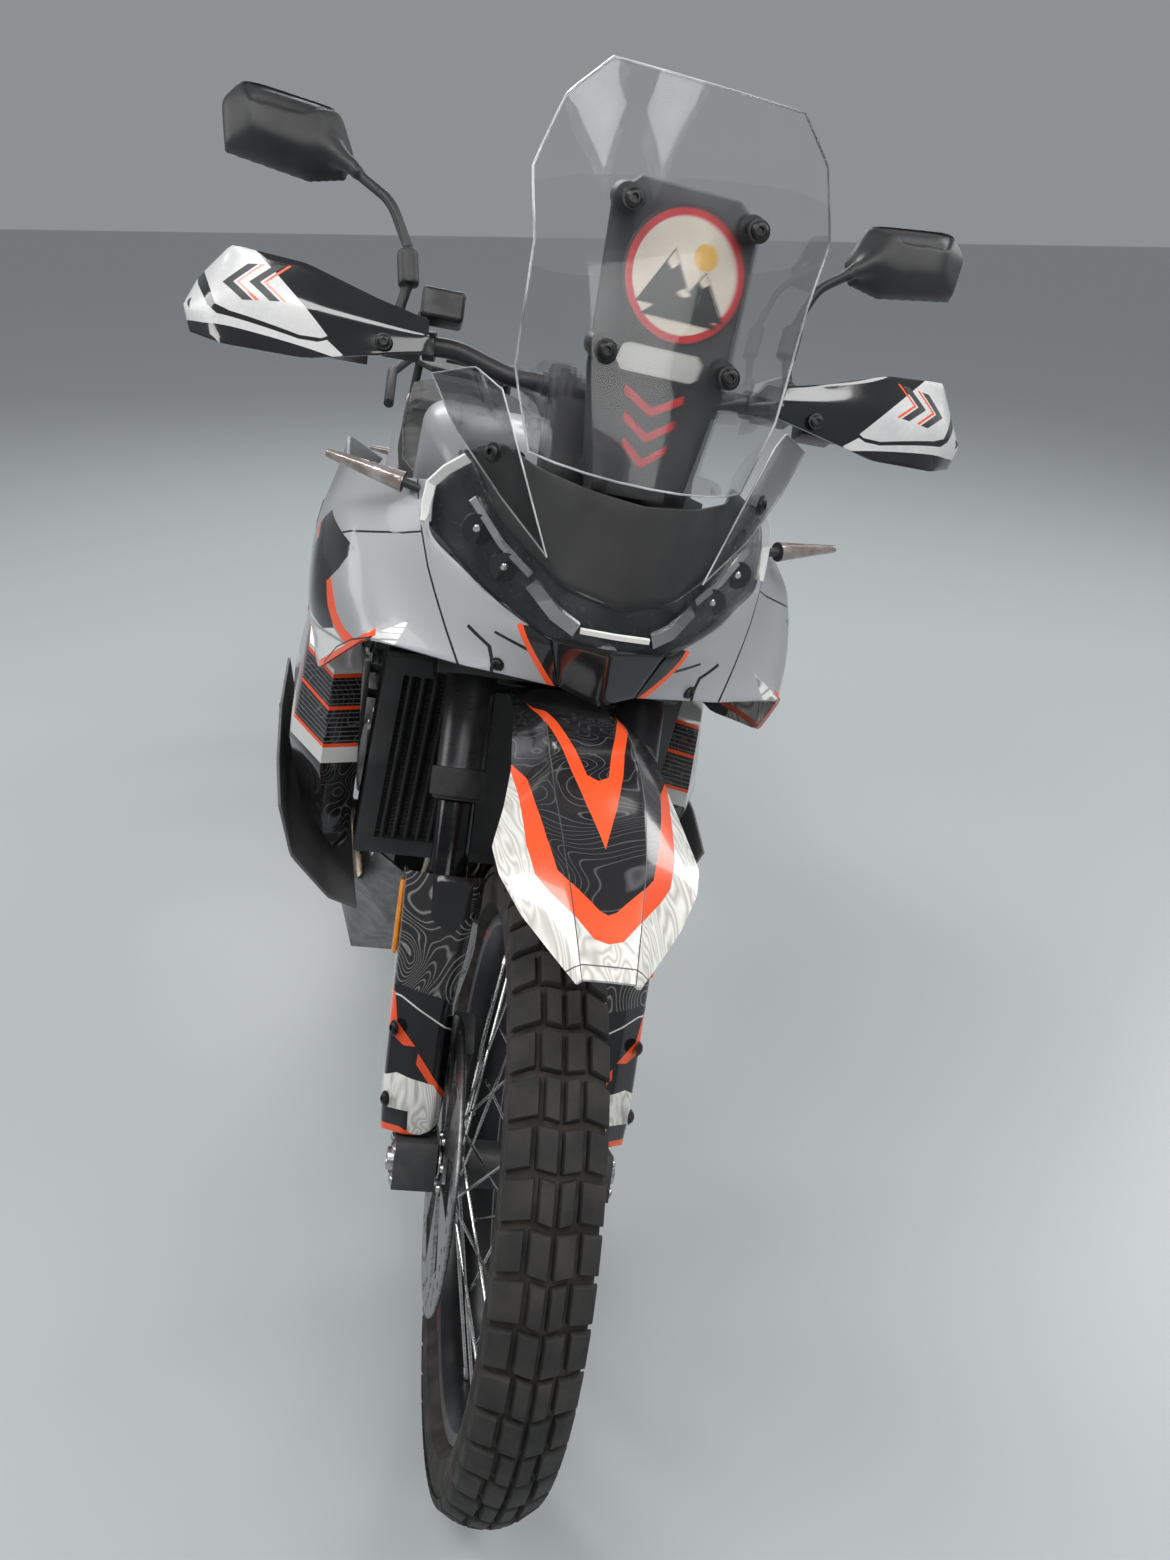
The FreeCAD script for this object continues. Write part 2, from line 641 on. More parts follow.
# Fork, in the fork's own frame: z along the steering axis from the ground, y to the rear
leg_y = -dim.fork_offset
axle_y, axle_z = axle_in_fork.y, axle_in_fork.z
outer_tubes, inner_tubes = [], []
for side, name in zip(MIRROR, ("left", "right")):
    x = side * dim.fork_spread
    outer = cylinder("outer_tube_" + name, (x, leg_y, (dim.fork_outer_low + dim.fork_top) / 2), (0, 0, 1),
                     "fork_outer", "fork_top - fork_outer_low")
    collar = cylinder("seal_collar_" + name, (x, leg_y, dim.fork_outer_low + 20), (0, 0, 1), "fork_outer + 4", "32")
    outer_tubes.append(joined("fork_upper_" + name, [outer, collar]))
    inner_tubes.append(cylinder("inner_tube_" + name, (x, leg_y, (axle_z + 70 + dim.fork_outer_low) / 2), (0, 0, 1),
                                "fork_inner", "fork_outer_low - %.3f" % (axle_z + 70 + 2 * dim.seat_gap)))
fork_pair = doc.addObject("Part::Compound", "fork_pair")
fork_pair.Links = outer_tubes + inner_tubes
doc.recompute()
node(fork_pair, "fork_legs", STEERING)


def axle_foot():
    """The casting at a leg's lower end: a socket for the tube, the axle clamp ahead of it and the caliper's ears."""
    x = dim.fork_spread
    socket = rod((x, leg_y, axle_z - 24), (x, leg_y, axle_z + 70), 25)
    clamp = Part.makeBox(46, 58, 52, Vector(x - 23, axle_y - 26, axle_z - 26))
    ear = prism([(x - 14, leg_y + 18, axle_z + 30), (x - 14, leg_y + 62, axle_z + 76),
                 (x - 14, leg_y + 62, axle_z + 96), (x - 14, leg_y + 18, axle_z + 66)], (14, 0, 0))
    foot = socket.fuse([clamp, ear])
    return foot.cut([rod((0, axle_y, axle_z), (x + 60, axle_y, axle_z), dim.axle_radius + 0.05),
                     Part.makeBox(60, 4, 30, Vector(x - 30, axle_y - 2, axle_z - 34))])



def clamp_plate(low, front, rear):
    """A fork clamp: a plate waisted between the legs, bored for them and for the stem."""
    x, r = dim.fork_spread, dim.fork_outer + 12
    outline = [(-x - r, leg_y - 14), (-x - 12, leg_y - r), (-40, front), (40, front), (x + 12, leg_y - r),
               (x + r, leg_y - 14), (x + r, leg_y + 14), (x + 12, leg_y + r), (38, rear), (-38, rear),
               (-x - 12, leg_y + r), (-x - r, leg_y + 14)]
    plate = prism([(a, b, low) for a, b in outline], (0, 0, dim.clamp_thickness))
    bores = [rod((side * x, leg_y, low - 1), (side * x, leg_y, low + 60), dim.fork_outer + 0.05) for side in MIRROR]
    return plate.cut(bores)


stem = rod((0, 0, dim.clamp_low + 5), (0, 0, dim.clamp_high + dim.clamp_thickness + 8), dim.stem_radius)
clamps = clamp_plate(dim.clamp_low, leg_y - 34, 40).fuse([stem, clamp_plate(dim.clamp_high, leg_y - 20, 36)])

# Fork guards: a hooded shell on the front and outer side of each lower leg
# height above the axle, inner x, front y ahead of the leg, outer x, rear y of the outer edge
GUARD_ROWS = [
    (30, -22, -36, 40, 10), (66, -24, -42, 43, 24), (176, -24, -45, 45, 26), (232, -37, -47, 46, 26), (318, -40, -48, 48, 22)]


def fork_guard():
    rows = []
    for up, inner, front, outer, rear in GUARD_ROWS:
        z, x, y = axle_z + up, dim.fork_spread, leg_y
        rows.append([(x + inner, y + front + 18, z), (x + inner + 10, y + front, z),
                     (x + 16, y + front, z), (x + outer, y + front + 18, z), (x + outer, y + rear, z)])
    return grid_panel(rows, -dim.panel_wall + 1)


node(feature("guards", both_sides(fork_guard())), "fork_guards", STEERING)


def caliper(disc_x, disc_radius, axle, centre, turn):
    """A brake caliper: a body over the disc's rim, slotted for the disc, with a finned bridge."""
    body = Part.makeBox(50, 58, 92, Vector(disc_x - 26, -29, -46))
    body = body.fuse(Part.makeBox(32, 68, 66, Vector(disc_x - 16, -34, -33)))
    body = body.makeFillet(6, [e for e in body.Edges if abs(e.BoundBox.YLength) < 0.01 and e.Length > 90])
    body.Placement = Placement(Vector(*centre), Rotation(Vector(1, 0, 0), turn))
    slot = dim.disc_thickness / 2 + 2.5
    return body.cut(rod((disc_x - slot, *axle), (disc_x + slot, *axle), disc_radius + 4))


front_caliper = caliper(dim.disc_place, dim.front_disc, (axle_y, axle_z), (0, leg_y + 76, axle_z + 96), 44)
node(feature("calipers", both_sides(front_caliper)), "front_calipers", STEERING)
node(feature("axle_feet", both_sides(axle_foot().cut(front_caliper))), "fork_feet", STEERING)

# Frame: head tube, two spars over the engine, down tubes, pivot plates and cross tubes
def along_head(up, side=0, back=0):
    """A point given in the fork's frame, as a place on the bike."""
    return FORK.multVec(Vector(side, back, up))


head_low = dim.clamp_low + dim.clamp_thickness + dim.seat_gap
head_high = dim.clamp_high - dim.seat_gap
PIVOT_PLATE = [(140, 330), (228, 322), (238, 430), (205, 560), (165, 612), (125, 600), (150, 480), (132, 420)]
SPAR = [(28, -425, 905), (62, -330, 890), (122, -190, 835), (130, 0, 720), (112, 120, 630), (80, 172, 560)]
DOWN_TUBE = [(26, -440, 872), (56, -318, 812), (86, -246, 650), (86, -208, 520)]
SEAT_RAIL = [(100, 60, 690), (98, 180, 742), (96, 420, 800), (92, 700, 862), (92, 742, 871)]
SEAT_STAY = [(92, 190, 560), (104, 330, 640), (96, 560, 818)]


def frame_shape():
    head = rod(along_head(head_low), along_head(head_high), dim.head_radius)
    parts = []
    for line, radius in ((SPAR, dim.frame_tube), (DOWN_TUBE, dim.frame_tube - 3)):
        run = tube(line, radius, 60)
        parts += [run, mirrored(run)]
    for side in (64, -82):
        parts.append(prism([(side, y, z) for y, z in PIVOT_PLATE], (18, 0, 0)))
    parts.append(rod((-120, -60, 768), (120, -60, 768), dim.frame_tube - 4))
    parts.append(rod((-66, 178, 560), (66, 178, 560), dim.frame_tube - 2))
    parts.append(prism([(-10, -446, 900), (-10, -350, 892), (-10, -330, 800), (-10, -425, 850)], (20, 0, 0)))
    frame = head.fuse(parts)
    bores = [rod(along_head(head_low - 5), along_head(head_high + 5), dim.stem_radius + 4),
             rod((-200, dim.pivot_y, dim.pivot_z), (200, dim.pivot_y, dim.pivot_z), 12.05)]
    return frame.cut(bores)


frame_solid = frame_shape()
pivot_bolt = rod((-150, dim.pivot_y, dim.pivot_z), (150, dim.pivot_y, dim.pivot_z), 12)
node(feature("frame_tubes", Part.makeCompound([frame_solid, pivot_bolt])), "main_frame", BIKE)


def subframe_shape():
    parts = []
    for line in (SEAT_RAIL, SEAT_STAY):
        run = tube(line, dim.subframe_tube, 80)
        parts += [run, mirrored(run)]
    for y, z in ((190, 744), (430, 803), (640, 849)):
        parts.append(rod((-96, y, z), (96, y, z), dim.subframe_tube - 2))
    for x, y, rail, seat_base in ((95, 300, 771, 810.6), (93, 600, 840, 867.3)):
        parts += [rod((side * x, y, rail), (side * x, y, seat_base - dim.seat_gap), 8) for side in MIRROR]
    return parts[0].fuse(parts[1:]).cut(frame_solid)


subframe_solid = subframe_shape()
node(feature("subframe_tubes", subframe_solid), "subframe", BIKE)

# Engine: a crankcase, a leaning cylinder block and its head, with covers on both sides
CRANKCASE = [(-196, 330), (-150, 282), (96, 282), (124, 330), (126, 470), (60, 566), (-60, 590), (-178, 548),
             (-205, 450)]
BLOCK = [(-188, 540), (-24, 590), (-58, 700), (-72, 748), (-226, 706), (-222, 640)]
HEAD_COVER = [(-226, 706), (-72, 748), (-84, 790), (-128, 800), (-226, 768), (-244, 740)]


def engine_shape():
    case = prism([(-100, y, z) for y, z in CRANKCASE], (200, 0, 0))
    block = prism([(-92, y, z) for y, z in BLOCK], (184, 0, 0))
    cover = prism([(-84, y, z) for y, z in HEAD_COVER], (168, 0, 0))
    ribs = []
    for i in range(4):
        y, z = -196 + 22 * 0.3 * i, 596 + 26 * i
        ribs.append(prism([(-97, y - 20 - 8 * i, z), (-97, y + 170 - 16 * i, z + 46), (-97, y + 168 - 16 * i, z + 53),
                           (-97, y - 22 - 8 * i, z + 7)], (194, 0, 0)))
    sump = prism([(-70, y, z) for y, z in ((-130, 290), (70, 290), (50, 262), (-110, 262))], (140, 0, 0))
    bolt = rod((-200, dim.pivot_y, dim.pivot_z), (200, dim.pivot_y, dim.pivot_z), 26)
    engine = case.fuse([block, cover, sump] + ribs).cut([frame_solid, bolt, sprocket_recess(101)])
    return engine.fuse(output_sprocket())


def sprocket_recess(outer):
    """The room that the front sprocket and the chain run in, from the case out to a given x."""
    recess = [(26, 340), (170, 330), (170, 470), (60, 470), (26, 440)]
    return prism([(dim.chain_line - 14, y, z) for y, z in recess], (outer - dim.chain_line + 14, 0, 0))


def output_sprocket():
    """The gearbox's output shaft with the front sprocket on it, inside the chain's loop."""
    wheel = sprocket_shape(front_sprocket_radius - 8.5, 16, dim.sprocket_thickness, 6)
    wheel.translate(output_shaft)
    return wheel.fuse(rod(output_shaft - Vector(20, 0, 0), output_shaft + Vector(8, 0, 0), 14))


engine_solid = engine_shape()
node(feature("engine_block", engine_solid), "engine", BIKE)


def engine_covers():
    """Clutch and alternator covers, the water pump and the sprocket cover, seated on the case's sides."""
    face = 100 + dim.seat_gap
    covers = []
    # side, y, z, radius, depth, cap radius, cap depth
    for side, y, z, radius, depth, cap, high in (
            (-1, 40, 430, 84, 34, 56, 12), (-1, -96, 420, 52, 26, 34, 10), (1, -80, 425, 72, 30, 46, 10),
            (-1, -150, 500, 24, 40, 14, 14)):
        shape = rod((side * face, y, z), (side * (face + depth), y, z), radius)
        shape = shape.fuse(rod((side * (face + depth), y, z), (side * (face + depth + high), y, z), cap))
        if covers and covers[-1].distToShape(shape)[0] < 1:
            shape = covers.pop().fuse(shape)
        covers.append(shape)
    guard = prism([(face, y, z) for y, z in ((30, 352), (104, 346), (122, 380), (124, 452), (96, 486), (20, 486), (6, 450))],
                  (18, 0, 0))
    chain_side = dim.chain_line + 11.5
    covers.append(guard.cut([rod((90, -80, 425), (200, -80, 425), 74), sprocket_recess(chain_side)]))
    return Part.makeCompound(covers)


node(feature("covers", engine_covers()), "engine_covers", BIKE)

# Radiator and its guard of upright louvres
RADIATOR_TOP, RADIATOR_LOW, RADIATOR_HALF = 790, 520, 160
CORE_FRONT = front_axle.y + dim.front_radius + 40
CORE_BACK = CORE_FRONT + 35
radiator_core = box("radiator_core", (-RADIATOR_HALF, CORE_FRONT, RADIATOR_LOW), (RADIATOR_HALF, CORE_BACK, RADIATOR_TOP))
tanks = [box("radiator_tank_left", (RADIATOR_HALF, CORE_FRONT - 5, RADIATOR_LOW - 6),
             (RADIATOR_HALF + 24, CORE_BACK + 5, RADIATOR_TOP + 6)),
         box("radiator_tank_right", (-RADIATOR_HALF - 24, CORE_FRONT - 5, RADIATOR_LOW - 6),
             (-RADIATOR_HALF, CORE_BACK + 5, RADIATOR_TOP + 6))]

def radiator_lug(x, z, back):
    """A rubber-mounted lug from the radiator's back to the down tube."""
    return Part.makeBox(12, back - CORE_BACK + 1, 18, Vector(x - 6, CORE_BACK - 1, z)).cut(frame_solid)


lugs = [feature("radiator_lug_%d" % i, radiator_lug(x, z, back))
        for i, (x, z, back) in enumerate(((86, 640, -247), (-86, 640, -247), (86, 536, -212), (-86, 536, -212)))]
node(joined("radiator_assembly", [radiator_core] + tanks + lugs), "radiator", BIKE)


def radiator_guard():
    """A frame round upright slats that are turned to shed stones, one grid each side of the front wheel."""
    front, back, half = CORE_FRONT - 29, CORE_FRONT - 13, 186
    frame = Part.makeBox(2 * half, back - front, RADIATOR_TOP - RADIATOR_LOW, Vector(-half, front, RADIATOR_LOW))
    slats = []
    for side in MIRROR:
        window = Part.makeBox(114, 40, RADIATOR_TOP - RADIATOR_LOW - 44,
                              Vector(50 if side > 0 else -164, front - 10, RADIATOR_LOW + 22))
        frame = frame.cut(window)
        for i in range(7):
            x = side * (62 + 15 * i)
            slats.append(prism([(x - 5, front + 2, RADIATOR_LOW + 20), (x - 2, front + 2, RADIATOR_LOW + 20),
                                (x + 6, back - 2, RADIATOR_LOW + 20), (x + 3, back - 2, RADIATOR_LOW + 20)],
                               (0, 0, RADIATOR_TOP - RADIATOR_LOW - 40)))
    feet = [Part.makeBox(12, 8 - dim.seat_gap, 16, Vector(x, back, z)) for x in (-180, 168) for z in (540, 752)]
    clamp_sweep = rod(FORK.multVec(Vector(0, 0, dim.clamp_low - 8)),
                      FORK.multVec(Vector(0, 0, dim.clamp_low + dim.clamp_thickness + 8)), dim.fork_spread + 54)
    return frame.fuse(slats + feet).cut(clamp_sweep)


node(feature("louvred_guard", radiator_guard()), "radiator_guard", BIKE)

# Swingarm, shock and pivot bolt
ARM = [(152, 372), (160, 424), (262, 446), (716, 366), (806, 362), (814, 306), (720, 300), (262, 336), (165, 362)]


def swingarm_shape():
    inner, outer = 110, 140
    arms = [prism([(inner if side > 0 else -outer, y, z) for y, z in ARM], (outer - inner, 0, 0)) for side in MIRROR]
    pockets = [prism([(x, y, z) for y, z in ((300, 358), (300, 412), (640, 362), (690, 318), (640, 318))], (14, 0, 0))
               for x in (outer - 8, -outer - 6)]
    cross = Part.makeBox(2 * inner + 4, 84, 58, Vector(-inner - 2, 246, 346))
    cross = cross.makeFillet(12, [e for e in cross.Edges if e.BoundBox.XLength > 200])
    boss = rod((-60, dim.pivot_y, dim.pivot_z), (60, dim.pivot_y, dim.pivot_z), 24)
    web = [prism([(a, 196, 380), (a, 262, 356), (a, 262, 396), (a, 196, 412)], (18, 0, 0)) for a in (-50, 32)]
    arm = arms[0].fuse([arms[1], cross, boss] + web)
    tools = pockets + [rod((-200, rear_axle.y, rear_axle.z), (200, rear_axle.y, rear_axle.z), dim.rear_axle_radius + 0.05),
                       rod((-200, dim.pivot_y, dim.pivot_z), (200, dim.pivot_y, dim.pivot_z), 12.05)]
    return arm.cut(tools)


swingarm_solid = swingarm_shape()
node(feature("swingarm_casting", swingarm_solid), "swingarm", BIKE)


def shock_shape():
    """A coil-over shock between the cross tube and the swingarm's beam: rod, body, seats and coil."""
    low, high = Vector(0, 288, 416), Vector(0, 208, 640)
    along = (high - low).normalize()
    span = (high - low).Length
    body = rod(low, high, 12)
    upper = rod(low + along * (span - 110), high, 24)
    seats = [rod(low + along * a, low + along * (a + 8), 34) for a in (18, span - 60)]
    coils = [Part.makeTorus(28, 5.5, low + along * (36 + 24 * i), along) for i in range(6)]
    core = rod(low + along * 20, low + along * (span - 55), 23.5)
    eye = Part.makeBox(24, 26, 22, Vector(-12, 275, 404 + dim.seat_gap))
    return body.fuse([upper, core] + seats + coils).fuse(eye)


node(feature("shock_absorber", shock_shape()), "rear_shock", BIKE)

# Exhaust: two header pipes into one, and the silencer at the right
HEADERS = [
    [(-38, -234, 668), (-40, -292, 655), (-52, -292, 420), (-84, -222, 306), (-126, -130, 274), (-130, 60, 272),
     (-172, 190, 300), (-178, 320, 388), (-186, 392, 436)],
    [(38, -234, 668), (38, -292, 652), (20, -294, 430), (-50, -262, 350), (-84, -222, 306)]]


def exhaust_shape():
    pipes = [tube(HEADERS[0], 22, 55), tube(HEADERS[1], 20, 50)]
    flanges = [Part.makeBox(56, 8, 44, Vector(x - 28, -234, 646)) for x in (-38, 38)]
    pipe = pipes[0].fuse([pipes[1]] + flanges)
    return pipe.cut(engine_solid)


node(feature("header_pipes", exhaust_shape()), "exhaust_pipes", BIKE)

# y, z of the middle, half width, half height
SILENCER = [(393, 437, 26, 26), (430, 452, 44, 50), (560, 502, 48, 60), (740, 572, 48, 60), (800, 596, 40, 50)]


def silencer_shape():
    along = Vector(0, 363, 140).normalize()
    up = Vector(1, 0, 0).cross(along)
    wires = [rounded_box_wire((-190, y, z), (1, 0, 0), up, w, v, 0.6 * w) for y, z, w, v in SILENCER]
    can = loft(wires, ruled=True)
    sleeve = rod((-180, 350, 408), (-188, 404, 444), 22.3)
    mouth = rod((-190, 770, 585), (-190, 840, 612), 18)
    hanger = Part.makeBox(40, 30, 8, Vector(-142, 580, 560))
    return can.fuse(hanger).cut([mouth, sleeve])


node(feature("silencer_can", silencer_shape()), "silencer", BIKE)

# Skid plate: y, bottom z, bottom half width, side z, side half width
SKID_ROWS = [(14, 238, 148, 262, 160), (-90, 236, 150, 288, 166), (-220, 246, 140, 350, 166), (-326, 366, 112, 436, 160),
             (-366, 468, 102, 505, 152)]


def skid_plate_shape():
    rows = [[(-s, y, zs), (-b, y, zb), (b, y, zb), (s, y, zs)] for y, zb, b, zs, s in SKID_ROWS]
    plate = grid_panel(rows, dim.panel_wall)
    bosses = [rod((x, y, 237), (x, y, 262 - dim.seat_gap), 9) for x in (-52, 52) for y in (-84, -20)]
    slots = [Part.makeBox(16, 60, 40, Vector(x - 8, -190, 220)) for x in (-60, -20, 20, 60)]
    return plate.fuse(bosses).cut(slots)


node(feature("skid_plate_sheet", skid_plate_shape()), "skid_plate", BIKE)

# Fuel tank between the rider's knees: y, low z, high z, half width
TANK = [(-300, 915, 985, 104), (-200, 864, 1032, 158), (-60, 842, 1030, 150), (30, 818, 982, 110), (66, 806, 926, 86)]


def tank_shape():
    wires = [rounded_box_wire((0, y, (low + high) / 2), (1, 0, 0), (0, 0, 1), half, (high - low) / 2, 30)
             for y, low, high, half in TANK]
    tank = loft(wires)
    mounts = [rod((side * 118, -190, 838), (side * 118, -190, 870), 10) for side in MIRROR]
    return tank.fuse([rod((0, -150, 1020), (0, -146, 1046), 36)] + mounts).cut(frame_solid)


tank_solid = tank_shape()
node(feature("tank_body", tank_solid), "fuel_tank", BIKE)

# Headlamp: stations across it, each a top, a middle and a bottom point
LAMP = [[(167, -528, 1070), (189, -502, 1026), (189, -519, 985)], [(122, -578, 1018), (128, -583, 984), (130, -590, 952)],
        [(58, -632, 982), (62, -641, 954), (64, -643, 928)], [(0, -646, 972), (0, -655, 950), (0, -660, 928)]]


def across(stations):
    """Stations given for one side, as rows from one side to the other."""
    return stations + [[(-x, y, z) for x, y, z in station] for station in stations[-2::-1]]


lamp_solid = grid_panel(across(LAMP), -26)
node(feature("headlamp_unit", lamp_solid), "headlamp", BIKE)

# Fairings: rows from the headlamp outward and back, each from its top edge to its lower edge
FAIRING = [
    [(189, -507, 1016), (182, -529, 978), (107, -609, 941), (61, -643, 926), (42, -640, 878)],
    [(191, -498, 1027), (189, -524, 983), (178, -552, 950), (160, -585, 914), (140, -618, 878)],
    [(246, -392, 992), (262, -432, 968), (259, -478, 942), (250, -526, 908), (232, -577, 877)],
    [(262, -330, 985), (284, -390, 930), (289, -412, 890), (287, -436, 845), (268, -470, 790)],
    [(258, -180, 985), (284, -230, 915), (289, -252, 870), (287, -278, 820), (266, -320, 744)],
    [(200, -30, 930), (226, -40, 880), (232, -50, 842), (236, -66, 796), (232, -90, 746)]]
fairing_solid = grid_panel(FAIRING, -dim.panel_wall).cut(lamp_solid)

# Low side tanks: z, front y, rear y, inner x, outer x
PODS = [(738, -348, 30, 206, 270), (620, -384, 40, 196, 280), (520, -372, 30, 190, 252), (474, -330, 0, 190, 214)]


def pod_shape():
    wires = []
    for z, front, rear, inner, outer in PODS:
        wires.append(polygon([(inner, front + 16, z), (0.45 * inner + 0.55 * outer, front, z), (outer, front + 80, z),
                              (outer - 6, rear - 90, z), (0.6 * inner + 0.4 * outer, rear, z), (inner, rear, z)]))
    neck = prism([(206, -250, 736), (246, -250, 736), (172, -250, 936), (140, -250, 900)], (0, 66, 0))
    neck = neck.cut([tank_solid, fairing_solid])
    neck = min(neck.Solids, key=lambda solid: solid.CenterOfMass.x)
    return loft(wires, ruled=True).fuse(neck).cut([tank_solid, fairing_solid])


pod_solid = pod_shape()
node(feature("side_tanks", both_sides(pod_solid)), "side_tanks", BIKE)

# Guards under the side tanks: y, then outer, knee, low and inner points as x and z
POD_GUARD = [
    (-392, (286, 566), (262, 494), (206, 436), (168, 424)), (-300, (292, 582), (270, 500), (212, 434), (168, 414)),
    (-150, (292, 588), (270, 504), (206, 436), (168, 412)), (10, (284, 596), (262, 516), (204, 446), (168, 424))]


def pod_guard_shape():
    rows = [[(x, y, z) for x, z in points] for y, *points in POD_GUARD]
    bosses = [rod((225, y, 560), (282, y, 560), 9).cut(pod_solid) for y in (-250, -90)]
    return grid_panel(rows, dim.panel_wall).fuse([boss.Solids[-1] for boss in bosses])


node(feature("side_tank_guards", both_sides(pod_guard_shape())), "side_tank_guards", BIKE)

node(feature("fairing_pair", both_sides(fairing_solid)), "fairings", BIKE)

NOSE = [[(60, -642.5, 930), (40.8, -640.6, 878)], [(0, -660, 931), (0, -654, 868)]]
node(feature("nose_skin", grid_panel(across(NOSE), -dim.panel_wall).cut(lamp_solid)), "nose_panel", BIKE)
COWL = [[(124, -526, 1084), (166, -507, 1062)], [(100, -588, 1080), (116, -575, 1012)],
        [(58, -625, 1077), (58, -626, 976)], [(0, -642, 1074), (0, -640, 966)]]
node(feature("cowl_skin", grid_panel(across(COWL), -dim.panel_wall).cut(lamp_solid)), "cowl", BIKE)

# Windscreen: z, y at the middle, y at the edges, half width
SCREEN = [(1092, -640, -584, 112), (1163, -610, -560, 137), (1277, -582, -545, 140), (1335, -562, -524, 152),
          (1400, -538, -512, 132), (1438, -522, -508, 96)]


def screen_shape():
    wires = []
    for z, middle, edge, half in SCREEN:
        wall = dim.screen_wall
        outer = Part.Arc(Vector(-half, edge, z), Vector(0, middle, z), Vector(half, edge, z)).toShape()
        inner = Part.Arc(Vector(half, edge + wall, z), Vector(0, middle + wall, z), Vector(-half, edge + wall, z))
        ends = [Part.LineSegment(Vector(half, edge, z), Vector(half, edge + wall, z)).toShape(),
                Part.LineSegment(Vector(-half, edge + wall, z), Vector(-half, edge, z)).toShape()]
        wires.append(Part.Wire([outer, ends[0], inner.toShape(), ends[1]]))
    return loft(wires)


screen_solid = screen_shape()
node(feature("screen_sheet", screen_solid), "windscreen", BIKE)
BRACKET = [(-52, 1070), (-70, 1180), (-74, 1330), (-50, 1350), (50, 1350), (74, 1330), (70, 1180), (52, 1070)]


def bracket_shape():
    """The screen's backing plate, its four posts and the rider's display behind it."""
    lean = (-534 + 600) / (1350 - 1070)
    plate = prism([(x, -596 + (z - 1070) * lean, z) for x, z in BRACKET], (0, 6, 0))
    posts = []
    for x, z in ((62, 1330), (62, 1200), (-62, 1330), (-62, 1200)):
        y = -596 + (z - 1070) * lean
        posts.append(rod((x, y - 30, z), (x, y + 14, z), 8).fuse(rod((x, y - 10, z), (x, y + 12, z), 13)))
    screen_back = Part.makeBox(156, 22, 96, Vector(-78, -520, 1040))
    screen_back.rotate(Vector(0, -510, 1040), Vector(1, 0, 0), -18)
    arms = [Part.makeBox(14, 96, 12, Vector(x, -598, 1072)) for x in (-45, 31)]
    beam = prism([(-18, -420, 905), (-18, -420, 950), (-18, -619, 972), (-18, -619, 944)], (36, 0, 0))
    mast = Part.makeBox(36, 12, 140, Vector(-18, -566, 944))
    top = Part.makeBox(90, 12, 12, Vector(-45, -566, 1072))
    head_core = rod(FORK.multVec(Vector(0, 0, 880)), FORK.multVec(Vector(0, 0, 1130)), dim.head_radius)
    return plate.fuse(posts + [screen_back, beam, mast, top] + arms).cut([frame_solid, head_core, screen_solid, lamp_solid])


node(feature("bracket_and_display", bracket_shape()), "screen_bracket", BIKE)
DEFLECTOR = [[(205, -495, 1131), (178, -532, 1090)], [(168, -520, 1150), (134, -590, 1050)],
             [(144.6, -559.2, 1140), (82.6, -633.2, 1008)]]
node(feature("deflector_pair", both_sides(grid_panel(DEFLECTOR, -3))), "deflectors", BIKE)

# Seat in one run with a step: y, low z, high z, half width
SEAT = [(67, 800, 872, 92), (150, 790, 866, 128), (300, 812, 862, 150), (400, 832, 890, 150), (470, 846, 924, 140),
        (640, 876, 934, 118), (700, 892, 926, 90)]


def seat_shape():
    wires = [rounded_box_wire((0, y, (low + high) / 2), (1, 0, 0), (0, 0, 1), half, (high - low) / 2, 16)
             for y, low, high, half in SEAT]
    return loft(wires, ruled=True)


seat_solid = seat_shape()
node(feature("seat_pad", seat_solid), "seat", BIKE)

# Tail cowls, rack, lamp and the plate carrier
TAIL = [[(128, 420, 812), (150, 420, 770), (132, 420, 722)], [(122, 560, 852), (138, 560, 800), (122, 560, 752)],
        [(104, 720, 884), (116, 730, 846), (98, 730, 806)], [(60, 790, 896), (66, 800, 862), (56, 796, 832)]]
rack_foot = rod((92, 738, 870), (88, 746, 945), 8)
tail_cowl = grid_panel(TAIL, dim.panel_wall).cut([subframe_solid, rack_foot])
node(feature("tail_cowl_pair", both_sides(tail_cowl)), "tail_cowls", BIKE)


